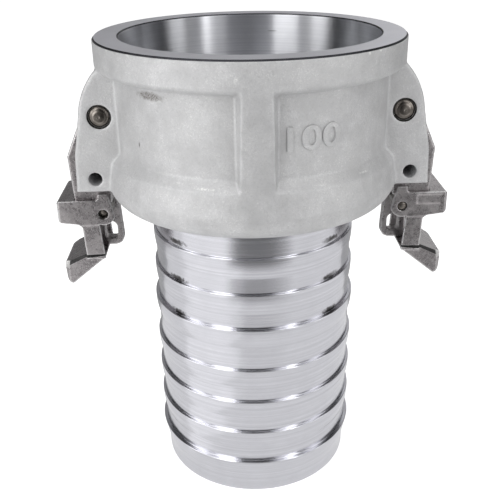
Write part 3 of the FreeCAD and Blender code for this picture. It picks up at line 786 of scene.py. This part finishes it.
GROOVE_HALF, GROOVE_FLOOR_HALF, GROOVE_DEPTH = 1.6, 0.9, 0.7
groove_r = (GASKET_R + GASKET_HOLE_R) / 2 - 1.0
groove_z = GASKET_TOP_Z - GROOVE_DEPTH
seal = turned_piece("moulded_gasket", rounded([
    (GASKET_HOLE_R, SEAT_Z, 0.9), (GASKET_R, SEAT_Z, 0.7), (GASKET_R, GASKET_TOP_Z, 0.7),
    (groove_r + GROOVE_HALF, GASKET_TOP_Z, 0.3), (groove_r + GROOVE_FLOOR_HALF, groove_z, 0.4),
    (groove_r - GROOVE_FLOOR_HALF, groove_z, 0.4), (groove_r - GROOVE_HALF, GASKET_TOP_Z, 0.3),
    (GASKET_HOLE_R, GASKET_TOP_Z, 1.1)]))
seal.data.materials.append(rubber)
true_faces(seal, 50)
fitted(seal, "coupler", "gasket_rubber", "face_gasket")


# Nominal size in millimetres on the right front panel: plain raised figures, soft as cast.

FIGURES_HIGH = 10.4
FIGURES_WIDE = 24.6
FIGURES_Z = 194.5
FIGURES_TURN = math.radians(21.5)
FIGURES_SUNK = 0.05
letters = bpy.data.curves.new("raised_figures", "FONT")
letters.body = "100"
letters.size = 15 * MM
letters.space_character = 1.05
letters.extrude = 0.9 * MM
letters.offset = 0.35 * MM
lettering = bpy.data.objects.new("raised_figures", letters)
bpy.context.scene.collection.objects.link(lettering)
graph = bpy.context.evaluated_depsgraph_get()
number = bpy.data.objects.new("raised_number", bpy.data.meshes.new_from_object(
    lettering.evaluated_get(graph)))
bpy.data.objects.remove(lettering)
bpy.context.scene.collection.objects.link(number)
spans = [[v.co[axis] for v in number.data.vertices] for axis in (0, 1)]
middle = [(min(s) + max(s)) / 2 for s in spans]
number.data.transform(Matrix.Diagonal((
    FIGURES_WIDE * MM / (max(spans[0]) - min(spans[0])),
    FIGURES_HIGH * MM / (max(spans[1]) - min(spans[1])), 1, 1))
    @ Matrix.Translation((-middle[0], -middle[1], 0)))
softened(number, FIGURES_GRID, 2)
for v in number.data.vertices:
    out = PANEL_R * MM + v.co.z - FIGURES_SUNK * MM
    angle = FIGURES_TURN + v.co.x / (PANEL_R * MM)
    v.co = Vector((out * math.sin(angle), -out * math.cos(angle), FIGURES_Z * MM + v.co.y))
number.data.update()
number.data.materials.clear()
number.data.materials.append(cast_aluminium)
fitted(number, "coupler", "cast_aluminium")


# Studio, in metres: floor, white surround, five softboxes, and cards that only the metal sees.

floor_plane = bmesh.new()
bmesh.ops.create_grid(floor_plane, x_segments=1, y_segments=1, size=6.0)
floor = finished(floor_plane, "studio_floor")
floor.data.materials.append(painted_floor())

SURROUND_LIGHT = 0.63
world = bpy.data.worlds.new("studio_white")
world.use_nodes = True
bpy.context.scene.world = world
tree = world.node_tree
tree.nodes.clear()
level = add(tree, "MapRange", {0: seen_share(tree), 3: SURROUND_LIGHT})
sky = add(tree, "Background", {"Color": "FFFFFF", "Strength": level})
add(tree, "OutputWorld", {0: sky}, None)

MIDDLE = (0, 0, 0.13)


def around(turn, rise, far):
    """Place at an angle round the object from the front, and a rise, both in degrees."""
    turn, rise = math.radians(turn), math.radians(rise)
    flat = far * math.cos(rise)
    return (flat * math.sin(turn), -flat * math.cos(turn), MIDDLE[2] + far * math.sin(rise))


def softbox(name, place, size, power):
    """Rectangular lamp, in watts, that faces the object's middle."""
    lamp = bpy.data.lights.new(name, "AREA")
    lamp.shape = "RECTANGLE"
    lamp.size, lamp.size_y = size
    lamp.energy = power
    box = bpy.data.objects.new(name, lamp)
    bpy.context.scene.collection.objects.link(box)
    box.location = place
    box.rotation_euler = (Vector(MIDDLE) - Vector(place)).to_track_quat("-Z", "Y").to_euler()


def card(name, place, size, shade, flat=False):
    """Card of a width and height that faces the object, or lies on the floor."""
    turn = Matrix.Identity(4)
    if not flat:
        toward = Vector((-place[0], -place[1], 0))
        turn = toward.to_track_quat("Z", "Y").to_matrix().to_4x4()
    sheet = bmesh.new()
    bmesh.ops.create_grid(sheet, x_segments=1, y_segments=1, size=0.5)
    bmesh.ops.transform(sheet, verts=sheet.verts,
                        matrix=Matrix.Translation(place) @ turn @ Matrix.Diagonal((*size, 1, 1)))
    piece = finished(sheet, name)
    piece.data.materials.append(flag_card(name + "_grey", shade))
    piece.visible_camera = False
    piece.visible_diffuse = False
    piece.visible_shadow = False
    piece.visible_transmission = False


# Softboxes by their turn from the front, rise, distance, size and power
for name, turn, rise, far, size, power in (
        ("left_softbox", -37.5, 26, 0.9, (0.38, 0.9), 2.3),
        ("side_softbox", -74, 26, 0.9, (0.26, 0.9), 1.2),
        ("right_softbox", 42, 26, 0.9, (0.11, 0.9), 1.1),
        ("far_softbox", 74, 26, 0.9, (0.24, 0.9), 0.5),
        ("top_softbox", 180, 86, 1.0, (1.0, 0.8), 1.1)):
    softbox(name, around(turn, rise, far), size, power)

# Upright cards by their turn from the front, the half angle that they cover, distance and grey
CARD_MIDDLE_Z, CARD_HIGH = 0.66, 1.3
for name, turn, half, far, shade in (
        ("front_flag", -2, 24, 0.56, "0C0C0C"), ("left_gap_flag", -58, 6, 0.7, "C4C4C4"),
        ("right_gap_flag", 56, 9, 0.7, "848484"), ("left_flag", -114, 26, 0.8, "2C2C2C"),
        ("right_flag", 112, 26, 0.8, "242424"), ("back_flag", 180, 14, 0.8, "929292"),
        ("back_left_flag", -153, 13, 0.8, "8A8A8A"), ("back_right_flag", 153, 13, 0.8, "D4D4D4")):
    place = around(turn, 0, far)
    width = 2 * far * math.tan(math.radians(half))
    card(name, (place[0], place[1], CARD_MIDDLE_Z), (width, CARD_HIGH), shade)

# Cards on the floor, each a little above the one below
for name, place, size, shade in (
        ("floor_card", (0.0, 0.0, 0.0004), (3.0, 3.0), "E6E6E6"),
        ("left_floor_card", (-0.55, -0.33, 0.0008), (1.0, 0.6), "FFFFFF"),
        ("back_floor_card", (0.0, 0.67, 0.0008), (2.2, 1.1), "AAAAAA"),
        ("front_floor_card", (0.035, -0.44, 0.0012), (0.38, 0.38), "707070")):
    card(name, place, size, shade, flat=True)


# Camera: its place, how far it looks down and to the right, its roll, and its lens in millimetres

CAMERA_PLACE = (-0.0125, -0.3587, 0.2812)
LOOK_DOWN, LOOK_RIGHT, ROLL = (math.radians(a) for a in (24.58, 2.0, 0.86))
forward = Vector((math.sin(LOOK_RIGHT) * math.cos(LOOK_DOWN),
                  math.cos(LOOK_RIGHT) * math.cos(LOOK_DOWN), -math.sin(LOOK_DOWN)))
level_right = forward.cross(Vector((0, 0, 1))).normalized()
level_up = level_right.cross(forward)
right = level_right * math.cos(ROLL) - level_up * math.sin(ROLL)
up = level_up * math.cos(ROLL) + level_right * math.sin(ROLL)
lens = bpy.data.cameras.new("camera")
lens.sensor_width = 36.0
lens.lens = 54.55
lens.shift_x = -0.0064
lens.clip_start = 0.01
camera = bpy.data.objects.new("camera", lens)
bpy.context.scene.collection.objects.link(camera)
camera.matrix_world = (Matrix.Translation(CAMERA_PLACE)
                       @ Matrix((right, up, -forward)).transposed().to_4x4())
bpy.context.scene.camera = camera
bpy.context.scene.view_settings.view_transform = "Standard"
